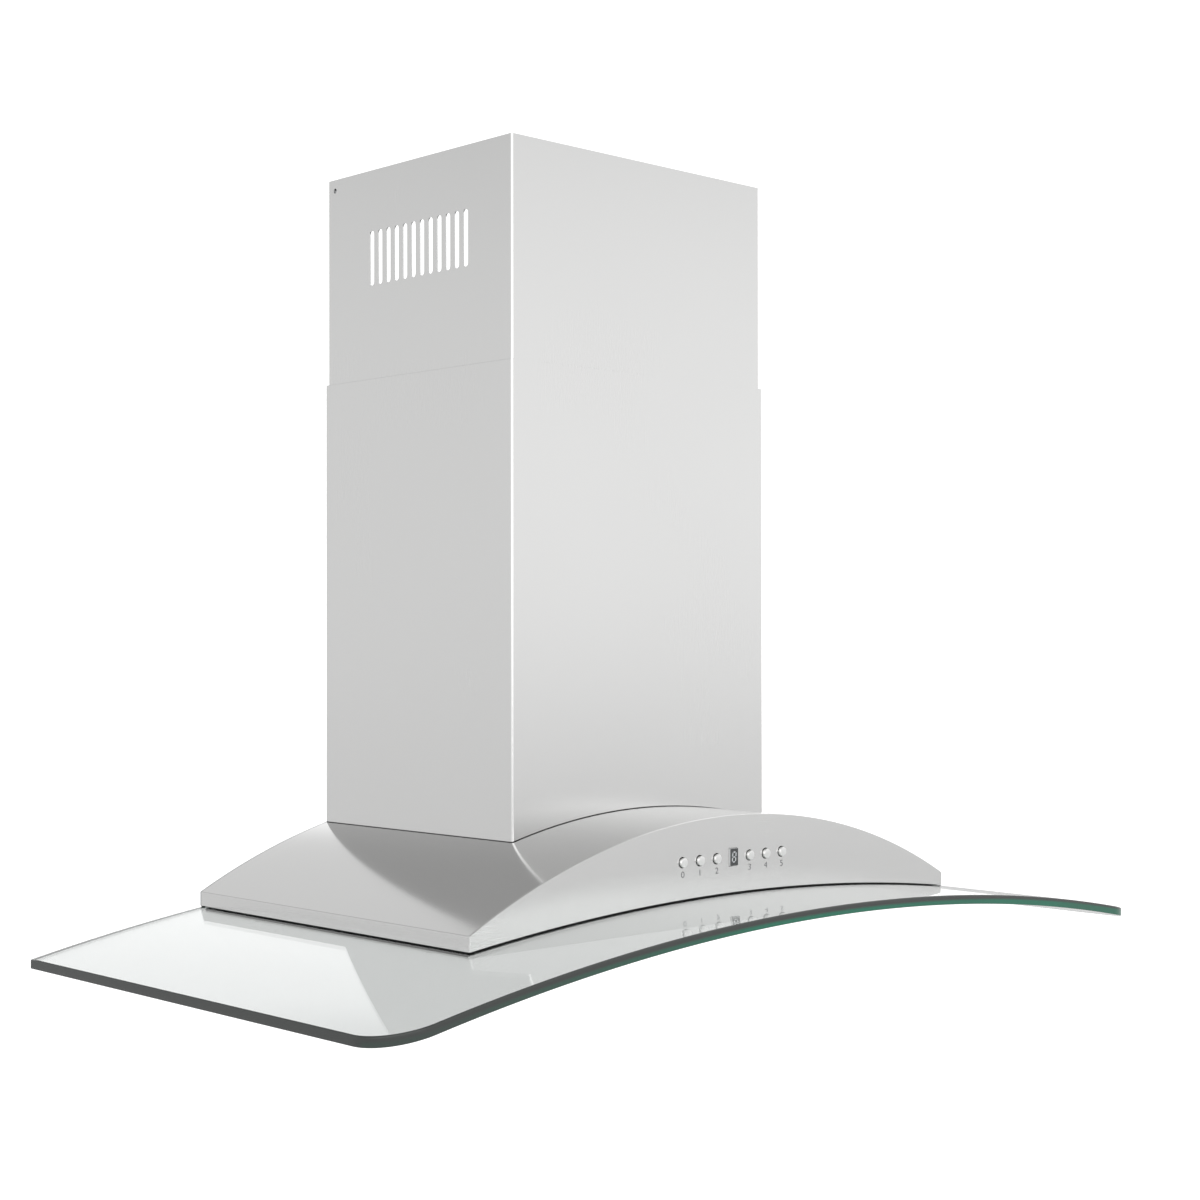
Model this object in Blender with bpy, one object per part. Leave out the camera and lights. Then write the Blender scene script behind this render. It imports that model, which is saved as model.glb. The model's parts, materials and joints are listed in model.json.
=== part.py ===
"""Wall range hood with a curved glass canopy, an arched steel body and a telescopic chimney.

Run with: blender --background --python part.py
Sizes are in millimetres and become metres when an object is made. +X is right along the front, -Y is the
front with the buttons, y = 0 is the wall plane, +Z is up, and z = 0 is the foot of the chimney's side walls.
"""

import math

import bmesh
import bpy
from mathutils import Vector

MM = 0.001

# Clearances
TOUCH_GAP = 0.3  # between pieces that touch on the real hood
SLIDE_GAP = 1.0  # between the two chimney sections
HOLE_GAP = 0.6  # round a button or the display in the fascia

# Sheet thicknesses
SHEET = 1.0
FRONT_SHEET = 1.2
PLATE = 1.5

# Glass canopy
GLASS_WIDTH = 900.0
GLASS_DEPTH = 473.0
GLASS_THICKNESS = 8.0
GLASS_CROWN_Z = -46.7
GLASS_RADIUS = 2200.0
GLASS_CORNER_RADIUS = 40.0
CUTOUT_HALF_WIDTH = 258.0
CUTOUT_REAR_STRIP = 23.0
CUTOUT_FRONT_MARGIN = 22.0  # from the cut-out to the front of the steel body

# Canopy body
BODY_WIDTH = 578.0
BODY_DEPTH = 363.0
ARCH_CROWN_Z = 19.1
ARCH_RADIUS = 618.7
SEAL_SPACE = 1.0  # between the glass and the steel above it
LOWER_SEAL_SPACE = 1.5  # between the glass and the tray below it

# Underside tray
TRAY_BOTTOM_Z = -76.5
TRAY_INSET = 3.0  # from the body's sides
TRAY_FRONT_INSET = 5.0
TRAY_REAR_Y = -5.0
LAMP_STRIP = 58.0  # from the tray's front to the filter openings
REAR_STRIP = 25.0
MULLION = 12.0
TRAY_SIDE_STRIP = 36.0

# Glass clamps
SCREW_RADIUS = 2.5
SCREW_HEAD_RADIUS = 4.75
SCREW_INSET = 15.0  # from the body's sides
SCREW_ROWS = (-70.0, -300.0)
CLAMP_BAR_THICKNESS = 5.0
CLAMP_BAR_WIDTH = 23.0
CLAMP_BAR_END = 25.0  # past the last screw
SCREW_HEAD_HEIGHT = 2.2
SCREW_SOCKET_RADIUS = 1.5
SCREW_SOCKET_DEPTH = 1.4

# Wall fixings
KEYHOLE_X = 100.0
KEYHOLE_Z = -20.0
KEYHOLE_HEAD_RADIUS = 6.0
KEYHOLE_NECK_RADIUS = 3.0
KEYHOLE_RISE = 9.0
BRACKET_HEIGHT = 112.0
BRACKET_BAR = 22.0  # height of its crossbar and of its ears
BRACKET_SHEET = 2.0
BRACKET_BELOW_TOP = 2.0
BRACKET_EAR = 16.0
BRACKET_HOLE_X = 80.0
BRACKET_HOLE_RADIUS = 3.0

# Chimney
CHIMNEY_WIDTH = 310.0
CHIMNEY_DEPTH = 258.5
LOWER_TOP_Z = 399.0
UPPER_TOP_Z = 586.0
UPPER_LENGTH = 380.0
FOLD_RADIUS = 2.0
FLANGE_WIDTH = 16.0
SLOT_COUNT = 12
SLOT_PITCH = 11.8
SLOT_WIDTH = 6.0
SLOT_LENGTH = 49.0
SLOT_BELOW_TOP = 78.7  # from the chimney's top to the slots' centres
HOLE_BELOW_TOP = 10.0
HOLE_FROM_WALL = 12.3
HOLE_RADIUS = 2.25
ANGLE_LEG = 20.0
ANGLE_LENGTH = 140.0
ANGLE_FRONT_Y = -200.0

# Blower
BLOWER_SIDE_MARGIN = 29.0  # from the chimney's sides to the blower opening
BLOWER_END_MARGIN = 27.25  # from the chimney's front and rear to the blower opening
BLOWER_PLATE_EDGE = 6.0  # of the blower plate past the opening
BLOWER_PLATE_Z = 22.0
HOUSING_SIDE_MARGIN = 70.0  # from the chimney's sides to the scroll housing
SCROLL_START_RADIUS = 76.0
SCROLL_END_RADIUS = 104.0
SCROLL_START_DEGREES = 35.0
INLET_RADIUS = 62.0
IMPELLER_RADIUS = 65.0
IMPELLER_WALL = 8.0
IMPELLER_END_SPACE = 15.0  # from the housing's sides to the wheel
IMPELLER_WEB = 2.0
HUB_RADIUS = 10.0
HUB_HALF_WIDTH = 8.0
BLADE_COUNT = 24
BLADE_LEAN = 18.0
BLADE_GAP_SHARE = 0.32  # half of a gap's width, as a share of the pitch
BLADE_RING = 4.0  # the solid ring at the open end of the blades
SHAFT_RADIUS = 4.0
SHAFT_LENGTH = 53.0
MOTOR_RADIUS = 42.0
MOTOR_FACE_X = 12.0
MOTOR_SHOULDER = 8.0
COLLAR_RADIUS = 75.0
COLLAR_HEIGHT = 60.0
DAMPER_ABOVE_PLATE = 25.0
PIN_RADIUS = 1.5

# Controls
CONTROL_Z = -16.0
BUTTON_PITCH = 20.4
BUTTON_RADIUS = 4.0
BUTTON_OUT = 2.5
BUTTON_TRAVEL = 1.2
BUTTON_FLANGE = 1.5
DISPLAY_WIDTH = 10.0
DISPLAY_HEIGHT = 14.5
DISPLAY_OUT = 1.0
CONTROL_BOX = (156.0, 38.0, 25.0)  # width, height, depth

# Filters and lamps
FILTER_GAP = 1.5
FILTER_DEPTH = 10.0
FILTER_RIM = 9.0
FILTER_FRONT_RIM = 16.0
BAFFLE_COUNT = 9
LATCH_WIDTH = 24.0
LATCH_LENGTH = 8.0
LATCH_TRAVEL = 3.0
LAMP_X = 150.0
LAMP_RADIUS = 20.0
LAMP_FLANGE = 3.0

# Junction box and capacitor
JUNCTION_SIZE = (70.0, 89.0, 28.0)
JUNCTION_FROM_CHIMNEY = 14.0
JUNCTION_SHEET = 2.0
GLAND_ENTRY_RADIUS = 6.0
CAPACITOR_RADIUS = 14.0
CAPACITOR_HEIGHT = 56.0

HALF_GLASS = GLASS_WIDTH / 2
HALF_BODY = BODY_WIDTH / 2
HALF_CHIMNEY = CHIMNEY_WIDTH / 2
CUTOUT_FRONT_Y = -BODY_DEPTH + CUTOUT_FRONT_MARGIN
FASCIA_BACK_Y = -BODY_DEPTH + FRONT_SHEET
BLOWER_OPENING = (CHIMNEY_WIDTH - 2 * BLOWER_SIDE_MARGIN, CHIMNEY_DEPTH - 2 * BLOWER_END_MARGIN)
HOUSING_HALF_WIDTH = HALF_CHIMNEY - HOUSING_SIDE_MARGIN
IMPELLER_HALF_WIDTH = HOUSING_HALF_WIDTH - IMPELLER_END_SPACE


def arc_height(x, crown, radius):
    """Height of a level cylinder with its axis along Y."""
    return crown - (radius - math.sqrt(radius * radius - x * x))


def glass_top(x, _y=0.0):
    return arc_height(x, GLASS_CROWN_Z, GLASS_RADIUS)


def glass_bottom(x, _y=0.0):
    return glass_top(x) - GLASS_THICKNESS


def arch(x, _y=0.0):
    return arc_height(x, ARCH_CROWN_Z, ARCH_RADIUS)


def above(surface, gap):
    """The surface moved up by a gap, or down by a negative one."""
    return lambda x, y=0.0: surface(x, y) + gap


def spaced(low, high, step):
    """Even values from low to high, about a step apart."""
    count = max(1, round((high - low) / step))
    return [low + (high - low) * i / count for i in range(count + 1)]


def rectangle(x0, y0, x1, y1):
    return [(x0, y0), (x1, y0), (x1, y1), (x0, y1)]


def inset(box, margin):
    x0, y0, x1, y1 = box
    return (x0 + margin, y0 + margin, x1 - margin, y1 - margin)


def arc(centre, radius, start, end, steps):
    """Points round a centre between two angles in degrees."""
    angles = [math.radians(start + (end - start) * i / steps) for i in range(steps + 1)]
    return [(centre[0] + radius * math.cos(a), centre[1] + radius * math.sin(a)) for a in angles]


def circle(centre, radius, steps=24):
    return arc(centre, radius, 0, 360 * (steps - 1) / steps, steps - 1)


def stadium(centre, length, width, steps=6):
    """An upright slot with round ends."""
    x, y = centre
    rise = (length - width) / 2
    return arc((x, y + rise), width / 2, 0, 180, steps) + arc((x, y - rise), width / 2, 180, 360, steps)


def keyhole(centre, head_radius, neck_radius, rise):
    """A round hole with a narrower round-ended slot above it."""
    x, y = centre
    join = math.degrees(math.acos(neck_radius / head_radius))
    head = arc(centre, head_radius, 180 - join, 360 + join, 16)
    return head + arc((x, y + rise), neck_radius, 0, 180, 8)


def filleted(points, radii, steps=3):
    """A closed outline with each corner rounded to its own radius."""
    outline = []
    for i, (point, radius) in enumerate(zip(points, radii)):
        if radius == 0:
            outline.append(point)
            continue
        corner = Vector(point)
        to_last = (Vector(points[i - 1]) - corner).normalized()
        to_next = (Vector(points[(i + 1) % len(points)]) - corner).normalized()
        half_angle = to_last.angle(to_next) / 2
        centre = corner + (to_last + to_next).normalized() * radius / math.sin(half_angle)
        start = corner + to_last * radius / math.tan(half_angle) - centre
        end = corner + to_next * radius / math.tan(half_angle) - centre
        turn = start.angle_signed(end)
        for step in range(steps + 1):
            angle = -turn * step / steps
            across = Vector((-start.y, start.x))
            outline.append(tuple(centre + start * math.cos(angle) + across * math.sin(angle)))
    return outline


def height_at(level, a, b):
    return level(a, b) if callable(level) else level


PLACES = {
    "x": lambda a, b, h: (h, a, b),
    "y": lambda a, b, h: (a, h, b),
    "z": lambda a, b, h: (a, b, h),
}


def add_prism(bm, outline, low, high, axis="z", holes=(), stations=()):
    """Adds a solid over an outline, between two levels that are numbers or functions of the outline's plane.

    Stations are places along the outline's first direction where the solid can bend.
    """
    flat = bmesh.new()
    edges = []
    for loop in [outline, *holes]:
        ring = [flat.verts.new((a, b, 0)) for a, b in loop]
        edges += [flat.edges.new((ring[i - 1], ring[i])) for i in range(len(ring))]
    bmesh.ops.triangle_fill(flat, use_beauty=True, use_dissolve=False, edges=edges)
    for station in stations:
        everything = flat.verts[:] + flat.edges[:] + flat.faces[:]
        place, across = (station, 0, 0), (1, 0, 0)
        bmesh.ops.bisect_plane(flat, geom=everything, dist=0.001, plane_co=place, plane_no=across)
    made = bmesh.ops.extrude_face_region(flat, geom=flat.faces[:], use_keep_orig=True)
    raised = {item for item in made["geom"] if isinstance(item, bmesh.types.BMVert)}
    for vert in flat.verts:
        a, b = vert.co.xy
        level = high if vert in raised else low
        vert.co = PLACES[axis](a, b, height_at(level, a, b))
    join(bm, flat)


def add_turned(bm, profile, centre=(0, 0, 0), axis="z", steps=32, closed=False):
    """Adds a turned solid from (radius, height) points, that meet the axis at both ends or form a loop."""
    turned = bmesh.new()
    verts = [turned.verts.new((radius, 0, height)) for radius, height in profile]
    edges = [turned.edges.new(pair) for pair in zip(verts, verts[1:])]
    if closed:
        edges.append(turned.edges.new((verts[-1], verts[0])))
    bmesh.ops.spin(
        turned,
        geom=verts + edges,
        cent=(0, 0, 0),
        axis=(0, 0, 1),
        angle=2 * math.pi,
        steps=steps,
        use_merge=True,
    )
    bmesh.ops.remove_doubles(turned, verts=turned.verts[:], dist=0.001)
    for vert in turned.verts:
        x, y, height = vert.co
        vert.co = Vector(PLACES[axis](x, y, height)) + Vector(centre)
    join(bm, turned)


def join(bm, other):
    """Moves another bmesh's closed shape into this one, facing outwards."""
    bmesh.ops.recalc_face_normals(other, faces=other.faces[:])
    if other.calc_volume(signed=True) < 0:
        bmesh.ops.reverse_faces(other, faces=other.faces[:])
    scratch = bpy.data.meshes.new("scratch")
    other.to_mesh(scratch)
    other.free()
    bm.from_mesh(scratch)
    bpy.data.meshes.remove(scratch)


def make_object(name, bm, material=None, origin=(0, 0, 0)):
    """A named object in metres, with its origin on its joint where it moves."""
    bmesh.ops.translate(bm, verts=bm.verts[:], vec=-Vector(origin))
    bmesh.ops.scale(bm, vec=(MM, MM, MM), verts=bm.verts[:])
    mesh = bpy.data.meshes.new(name)
    bm.to_mesh(mesh)
    bm.free()
    mesh.set_sharp_from_angle(angle=math.radians(30))
    obj = bpy.data.objects.new(name, mesh)
    obj.location = Vector(origin) * MM
    bpy.context.scene.collection.objects.link(obj)
    if material:
        mesh.materials.append(material)
    return obj


def prism(name, material, outline, low, high, axis="z", holes=(), stations=(), origin=(0, 0, 0)):
    bm = bmesh.new()
    add_prism(bm, outline, low, high, axis, holes, stations)
    return make_object(name, bm, material, origin)


def turned(name, material, profile, centre=(0, 0, 0), axis="z", steps=32, closed=False, origin=(0, 0, 0)):
    bm = bmesh.new()
    add_turned(bm, profile, centre, axis, steps, closed)
    return make_object(name, bm, material, origin)


def cut(obj, name, bm):
    """Cuts a bmesh's shapes out of an object, through a hidden cutter and a Boolean."""
    cutter = make_object(name, bm)
    cutter.hide_render = True
    cutter.display_type = "WIRE"
    modifier = obj.modifiers.new(name, "BOOLEAN")
    modifier.object = cutter
    modifier.operation = "DIFFERENCE"


def make_material(name, colour, roughness, metallic=0.0, transmission=0.0):
    material = bpy.data.materials.new(name)
    material.use_nodes = True
    shader = material.node_tree.nodes["Principled BSDF"]
    shader.inputs["Base Color"].default_value = (*colour, 1)
    shader.inputs["Roughness"].default_value = roughness
    shader.inputs["Metallic"].default_value = metallic
    shader.inputs["Transmission Weight"].default_value = transmission
    return material


def make_materials():
    return {
        "steel": make_material("brushed_steel", (0.62, 0.62, 0.61), 0.32, 1.0),
        "zinc": make_material("zinc_steel", (0.5, 0.51, 0.52), 0.4, 1.0),
        "glass": make_material("glass", (0.75, 0.93, 0.86), 0.02, 0.0, 1.0),
        "rubber": make_material("rubber", (0.02, 0.02, 0.02), 0.8),
        "black": make_material("black_plastic", (0.03, 0.03, 0.03), 0.5),
        "grey": make_material("grey_plastic", (0.35, 0.36, 0.37), 0.5),
        "white": make_material("white_plastic", (0.8, 0.8, 0.78), 0.45),
        "button": make_material("button_metal", (0.8, 0.8, 0.8), 0.25, 1.0),
        "board": make_material("circuit_board", (0.02, 0.2, 0.08), 0.5),
        "screen": make_material("display_lens", (0.05, 0.05, 0.06), 0.08),
        "lens": make_material("lamp_lens", (0.9, 0.9, 0.88), 0.2, 0.0, 0.6),
        "aluminium": make_material("aluminium", (0.7, 0.71, 0.72), 0.35, 1.0),
    }


def glass_outline():
    """Plan of the glass: square at the wall, rounded at both front corners."""
    corners = rectangle(-HALF_GLASS, -GLASS_DEPTH, HALF_GLASS, 0)
    return filleted(corners, (GLASS_CORNER_RADIUS, GLASS_CORNER_RADIUS, 0, 0), steps=10)


def screw_places():
    return [(side * (HALF_BODY - SCREW_INSET), y) for side in (-1, 1) for y in SCREW_ROWS]


def make_glass(mats):
    cutout = rectangle(-CUTOUT_HALF_WIDTH, CUTOUT_FRONT_Y, CUTOUT_HALF_WIDTH, -CUTOUT_REAR_STRIP)
    holes = [cutout] + [circle(place, 2 * SCREW_RADIUS, 16) for place in screw_places()]
    stations = spaced(-HALF_GLASS, HALF_GLASS, 18)[1:-1]
    outline = glass_outline()
    prism("glass_canopy", mats["glass"], outline, glass_bottom, glass_top, holes=holes, stations=stations)


def make_gaskets(mats):
    """One seal between the glass and the body, and one between the tray and the glass."""
    stations = spaced(-HALF_BODY, HALF_BODY, 24)[1:-1]
    edge = 0.5
    outer = rectangle(-HALF_BODY + edge, -BODY_DEPTH + edge, HALF_BODY - edge, -edge)
    bar_side = CUTOUT_HALF_WIDTH + 4
    inner = rectangle(-bar_side, CUTOUT_FRONT_Y - 4, bar_side, -CUTOUT_REAR_STRIP + 4)
    holes = [inner] + [circle(place, 2 * SCREW_RADIUS, 16) for place in screw_places()]
    low, high = above(glass_top, 0.2), above(glass_top, SEAL_SPACE - 0.2)
    prism("upper_gasket", mats["rubber"], outer, low, high, holes=holes, stations=stations)
    low, high = above(glass_bottom, 0.2 - LOWER_SEAL_SPACE), above(glass_bottom, -0.2)
    outer, inner = rectangle(*tray_box()), rectangle(*inset(tray_box(), 8))
    prism("lower_gasket", mats["rubber"], outer, low, high, holes=[inner], stations=stations)


def tray_box():
    side = HALF_BODY - TRAY_INSET
    return (-side, -BODY_DEPTH + TRAY_FRONT_INSET, side, TRAY_REAR_Y)


def body_outline(stations):
    """Front outline of the steel body: the arch on top, and the glass's curve below."""
    top = [(x, arch(x)) for x in reversed(stations)]
    bottom = [(x, glass_top(x) + SEAL_SPACE) for x in stations]
    return bottom + top


def make_body(mats):
    stations = spaced(-HALF_BODY, HALF_BODY, 14)
    foot_z = glass_top(HALF_BODY) + SEAL_SPACE
    outer = [(x, arch(x)) for x in stations]
    inner = [(x, arch(x) - SHEET) for x in reversed(spaced(-HALF_BODY + SHEET, HALF_BODY - SHEET, 14))]
    outline = [(-HALF_BODY, foot_z)] + outer + [(HALF_BODY, foot_z)]
    outline += [(HALF_BODY - SHEET, foot_z)] + inner + [(-HALF_BODY + SHEET, foot_z)]
    gap = 0.2
    shell = prism("canopy_shell", mats["steel"], outline, FASCIA_BACK_Y + gap, -FRONT_SHEET - gap, axis="y")
    opening = bmesh.new()
    width, depth = BLOWER_OPENING
    centre_y = blower_box_centre_y()
    box = rectangle(-width / 2, centre_y - depth / 2, width / 2, centre_y + depth / 2)
    add_prism(opening, box, arch(width / 2) - 10, ARCH_CROWN_Z + 10)
    cut(shell, "shell_opening_cutter", opening)

    button_holes = [circle((x, CONTROL_Z), BUTTON_RADIUS + HOLE_GAP) for x in button_places()]
    window = display_box(HOLE_GAP / 2)
    holes = button_holes + [rectangle(*window)]
    outline = body_outline(stations)
    prism("control_fascia", mats["steel"], outline, -BODY_DEPTH, FASCIA_BACK_Y, axis="y", holes=holes)

    radii = (KEYHOLE_HEAD_RADIUS, KEYHOLE_NECK_RADIUS)
    keyholes = [keyhole((x, KEYHOLE_Z), *radii, KEYHOLE_RISE) for x in (-KEYHOLE_X, KEYHOLE_X)]
    prism("rear_panel", mats["zinc"], outline, -FRONT_SHEET, 0, axis="y", holes=keyholes)


def filter_opening(side):
    """Plan of one filter opening in the tray, as low and high corners."""
    x0, y0, x1, y1 = tray_box()
    near, far = MULLION / 2, x1 - TRAY_SIDE_STRIP
    low, high = sorted((side * near, side * far))
    return (low, y0 + LAMP_STRIP, high, y1 - REAR_STRIP)


def lamp_places():
    y0 = tray_box()[1]
    return {side: (side * LAMP_X, y0 + LAMP_STRIP / 2 + 1.5) for side in (-1, 1)}


def make_tray(mats):
    holes = [rectangle(*filter_opening(side)) for side in (-1, 1)]
    holes += [circle(place, LAMP_RADIUS, 32) for place in lamp_places().values()]
    holes += [circle(place, SCREW_RADIUS + TOUCH_GAP, 16) for place in screw_places()]
    box = tray_box()
    stations = spaced(box[0], box[2], 24)[1:-1]
    high = above(glass_bottom, -LOWER_SEAL_SPACE)
    outline = rectangle(*box)
    low = TRAY_BOTTOM_Z
    tray = prism("underside_tray", mats["steel"], outline, low, high, holes=holes, stations=stations)
    hollow = bmesh.new()
    add_prism(hollow, rectangle(*inset(box, SHEET)), low + SHEET, GLASS_CROWN_Z)
    cut(tray, "tray_hollow_cutter", hollow)


def make_clamps(mats):
    low, high = above(glass_top, SEAL_SPACE), above(glass_top, SEAL_SPACE + CLAMP_BAR_THICKNESS)
    outer = HALF_BODY - SHEET - TOUCH_GAP
    for side, name in ((-1, "left"), (1, "right")):
        x0, x1 = sorted((side * outer, side * (outer - CLAMP_BAR_WIDTH)))
        box = rectangle(x0, min(SCREW_ROWS) - CLAMP_BAR_END, x1, max(SCREW_ROWS) + CLAMP_BAR_END)
        holes = [circle(p, SCREW_RADIUS + TOUCH_GAP, 16) for p in screw_places() if p[0] * side > 0]
        prism(f"clamp_bar_{name}", mats["zinc"], box, low, high, holes=holes)
    head_top = TRAY_BOTTOM_Z - TOUCH_GAP
    for number, (x, y) in enumerate(screw_places(), start=1):
        tip = glass_top(x) + SEAL_SPACE + CLAMP_BAR_THICKNESS - 1
        head, shank, socket = SCREW_HEAD_RADIUS, SCREW_RADIUS, SCREW_SOCKET_RADIUS
        head_low = head_top - SCREW_HEAD_HEIGHT
        socket_top = head_low + SCREW_SOCKET_DEPTH
        profile = [(0, socket_top), (socket, socket_top), (socket, head_low), (head - 1, head_low)]
        profile += [(head, head_low + 1), (head, head_top), (shank, head_top)]
        profile += [(shank, tip - 1), (shank - 1, tip), (0, tip)]
        turned(f"glass_screw_{number}", mats["zinc"], profile, (x, y, 0), steps=18)


def c_section(half_width, front, rear, flange, sheet):
    """Plan of a folded sheet open at the back, with a return flange on each side."""
    a, t = half_width, sheet
    outer = [(-a + flange, rear), (-a, rear), (-a, front), (a, front), (a, rear), (a - flange, rear)]
    back, face = rear - t, front + t
    inner = [(a - flange, back), (a - t, back), (a - t, face)]
    inner += [(-a + t, face), (-a + t, back), (-a + flange, back)]
    fold = FOLD_RADIUS
    radii = (0, fold, fold, fold, fold, 0, 0, fold - t, fold - t, fold - t, fold - t, 0)
    return filleted(outer + inner, radii)


def upper_half_width():
    return HALF_CHIMNEY - SHEET - SLIDE_GAP


def upper_rear_y():
    return -SHEET - 0.5


def make_lower_chimney(mats):
    outline = c_section(HALF_CHIMNEY, -CHIMNEY_DEPTH, 0, FLANGE_WIDTH, SHEET)
    stations = spaced(-HALF_CHIMNEY, HALF_CHIMNEY, 16)[1:-1]
    foot = above(arch, 0.5)
    prism("lower_chimney", mats["steel"], outline, foot, LOWER_TOP_Z, stations=stations)
    # An angle on each side ties the chimney's foot to the body.
    leg_x = HALF_CHIMNEY - SHEET - TOUCH_GAP
    for side, name in ((-1, "left"), (1, "right")):
        xs = [leg_x, leg_x - ANGLE_LEG / 2, leg_x - ANGLE_LEG]
        foot_line = [(side * x, arch(x) + TOUCH_GAP) for x in xs]
        top_line = [(side * x, arch(x) + TOUCH_GAP + PLATE) for x in reversed(xs[1:])]
        corner = (side * (leg_x - PLATE), arch(leg_x) + TOUCH_GAP + PLATE)
        leg_top = [(side * (leg_x - PLATE), BLOWER_PLATE_Z - 2), (side * leg_x, BLOWER_PLATE_Z - 2)]
        outline = foot_line + top_line + [corner] + leg_top
        rear_y = ANGLE_FRONT_Y + ANGLE_LENGTH
        prism(f"chimney_angle_{name}", mats["zinc"], outline, ANGLE_FRONT_Y, rear_y, axis="y")


def make_upper_chimney(mats):
    half, front = upper_half_width(), -CHIMNEY_DEPTH + SHEET + SLIDE_GAP
    rear = upper_rear_y()
    outline = c_section(half, front, rear, FLANGE_WIDTH, SHEET)
    upper = prism("upper_chimney", mats["steel"], outline, UPPER_TOP_Z - UPPER_LENGTH, UPPER_TOP_Z)
    slots = bmesh.new()
    middle = (-CHIMNEY_DEPTH - 6) / 2
    slot_z = UPPER_TOP_Z - SLOT_BELOW_TOP
    reach = HALF_CHIMNEY + 5
    for i in range(SLOT_COUNT):
        y = middle + (i - (SLOT_COUNT - 1) / 2) * SLOT_PITCH
        add_prism(slots, stadium((y, slot_z), SLOT_LENGTH, SLOT_WIDTH), -reach, reach, axis="x")
    fixing = (-HOLE_FROM_WALL, UPPER_TOP_Z - HOLE_BELOW_TOP)
    add_prism(slots, circle(fixing, HOLE_RADIUS, 16), -reach, reach, axis="x")
    cut(upper, "chimney_slot_cutter", slots)

    make_bracket(mats, half, rear, fixing)


def make_bracket(mats, half, rear, fixing):
    """A wall bracket with a low crossbar, and ears at its top that take the chimney's side screws."""
    t = BRACKET_SHEET
    base, ear = half - FLANGE_WIDTH - 3, half - SHEET - 0.7
    leg_y = rear - SHEET - 1.5
    ear_y = leg_y - BRACKET_EAR
    right = [(base, 0), (base, leg_y), (ear, leg_y), (ear, ear_y)]
    right += [(ear - t, ear_y), (ear - t, leg_y - t), (base - t, leg_y - t), (base - t, -t)]
    outline = right + [(-x, y) for x, y in reversed(right)]
    top = UPPER_TOP_Z - BRACKET_BELOW_TOP
    low = top - BRACKET_HEIGHT
    bar_top, ear_low = low + BRACKET_BAR, top - BRACKET_BAR
    bracket = prism("wall_bracket", mats["zinc"], outline, low, top)
    cuts = bmesh.new()
    inner = base - 12
    add_prism(cuts, rectangle(-inner, leg_y - 5, inner, 5), bar_top, top + 5)
    for side in (-1, 1):
        x0, x1 = sorted((side * (ear - t - 4), side * (ear + 4)))
        add_prism(cuts, rectangle(x0, ear_y - 5, x1, 5), low - 5, ear_low)
        hole = circle((side * BRACKET_HOLE_X, low + BRACKET_BAR / 2), BRACKET_HOLE_RADIUS, 16)
        add_prism(cuts, hole, -10, 10, axis="y")
    cut(bracket, "bracket_shape_cutter", cuts)
    side_holes = bmesh.new()
    add_prism(side_holes, circle(fixing, HOLE_RADIUS, 16), -HALF_CHIMNEY, HALF_CHIMNEY, axis="x")
    cut(bracket, "bracket_hole_cutter", side_holes)


def blower_box_centre_y():
    return -CHIMNEY_DEPTH / 2


def scroll_centre():
    """The impeller's axis as (y, z): the scroll's lowest point stands on the blower plate."""
    floor = BLOWER_PLATE_Z + PLATE + TOUCH_GAP
    y = blower_box_centre_y() + (SCROLL_END_RADIUS - scroll_radius(90)) / 2
    depths = [scroll_radius(angle) * -math.cos(math.radians(angle)) for angle in range(150, 211, 5)]
    return (y, floor + max(depths))


def scroll_radius(degrees):
    """The scroll's radius at an angle from straight up, through the rear, round to the front."""
    part = (degrees - SCROLL_START_DEGREES) / (270 - SCROLL_START_DEGREES)
    return SCROLL_START_RADIUS + (SCROLL_END_RADIUS - SCROLL_START_RADIUS) * part


def scroll_line(wall):
    """Side outline of the scroll, moved inwards by a wall, with its outlet straight up."""
    y, z = scroll_centre()
    front, rear = outlet_sides()
    line = [(rear - wall, outlet_top_z())]
    for degrees in spaced(SCROLL_START_DEGREES, 270, 9):
        angle, radius = math.radians(degrees), scroll_radius(degrees) - wall
        line.append((y + radius * math.sin(angle), z + radius * math.cos(angle)))
    return line + [(front + wall, outlet_top_z())]


def outlet_sides():
    """The y of the outlet's front and rear walls."""
    y = scroll_centre()[0]
    tongue = SCROLL_START_RADIUS * math.sin(math.radians(SCROLL_START_DEGREES))
    return (y - SCROLL_END_RADIUS, y + tongue)


def outlet_top_z():
    return scroll_centre()[1] + SCROLL_END_RADIUS


def make_blower_seat(mats):
    """A skirt that follows the arch, and the flat plate on it that carries the blower."""
    width, depth = BLOWER_OPENING
    y, margin = blower_box_centre_y(), BLOWER_PLATE_EDGE
    box = (-width / 2 - margin, y - depth / 2 - margin, width / 2 + margin, y + depth / 2 + margin)
    stations = spaced(box[0], box[2], 20)[1:-1]
    hole = rectangle(*inset(box, PLATE))
    low = above(arch, TOUCH_GAP)
    high = BLOWER_PLATE_Z - TOUCH_GAP
    prism("blower_skirt", mats["zinc"], rectangle(*box), low, high, holes=[hole], stations=stations)
    near, front_y = HOUSING_HALF_WIDTH + 7, y - depth / 2 + margin
    openings = [
        rectangle(-width / 2, front_y, -near, y + depth / 2 - margin),
        rectangle(near, front_y, width / 2, y),
    ]
    top = BLOWER_PLATE_Z + PLATE
    prism("blower_plate", mats["zinc"], rectangle(*box), BLOWER_PLATE_Z, top, holes=openings)
    radius, foot = CAPACITOR_RADIUS, top + TOUCH_GAP
    profile = [(0, 0), (radius - 1, 0), (radius, 1), (radius, CAPACITOR_HEIGHT - 1)]
    profile += [(radius - 1, CAPACITOR_HEIGHT), (0, CAPACITOR_HEIGHT)]
    place = (near + radius + 4, y + depth / 4, foot)
    turned("motor_capacitor", mats["white"], profile, place, steps=24)


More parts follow.
